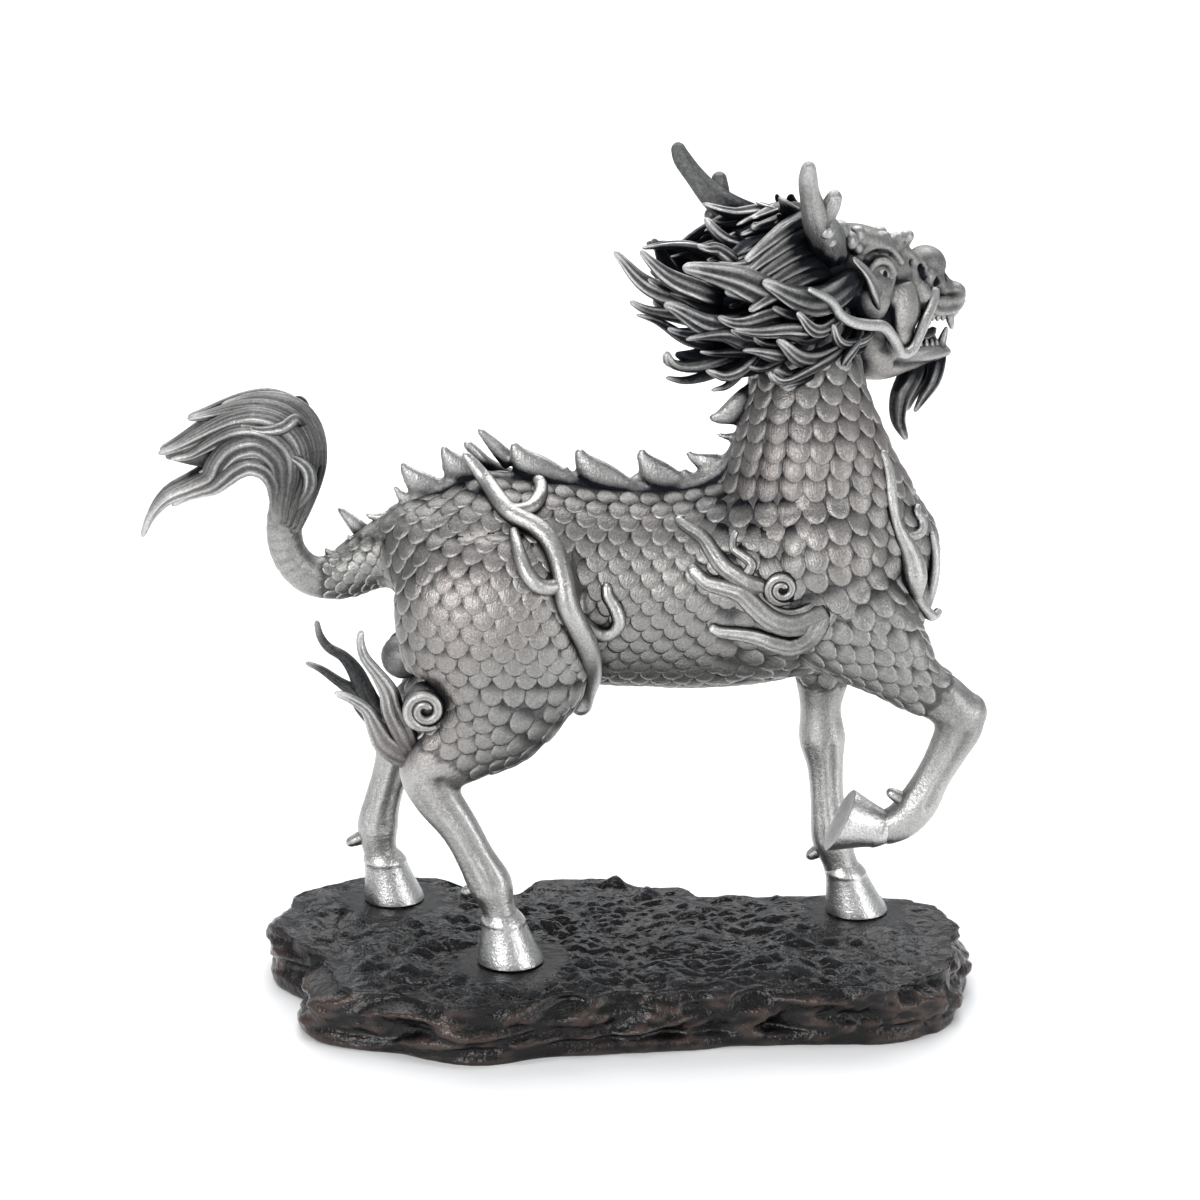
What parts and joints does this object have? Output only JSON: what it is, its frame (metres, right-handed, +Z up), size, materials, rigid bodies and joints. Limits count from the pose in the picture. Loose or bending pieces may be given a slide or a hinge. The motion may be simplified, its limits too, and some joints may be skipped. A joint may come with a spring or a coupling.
{
  "type": "qilin figure",
  "caption": "Cast metal figure of a walking qilin with scales, antlers, flowing mane and flame ornaments, one foreleg raised, on a low dark rock base.",
  "frame": {"origin": "on the flat underside of the rock base, at the middle of the base's length and depth", "axes": "+X the way the animal walks, +Y towards its left side, +Z up; the head looks 35 degrees to the left of +X"},
  "size_m": [0.2043, 0.0915, 0.2143],
  "materials": {
    "pewter": "satin cast pewter with near-black patina in the hollows and bright rubbed ridges",
    "dark_rock": "semi-gloss dark brown-black patina with a faint coppery rub on the ridges"
  },
  "bodies": {
    "root": {"qilin": "pewter", "rock_base": "dark_rock"}
  },
  "joints": []
}
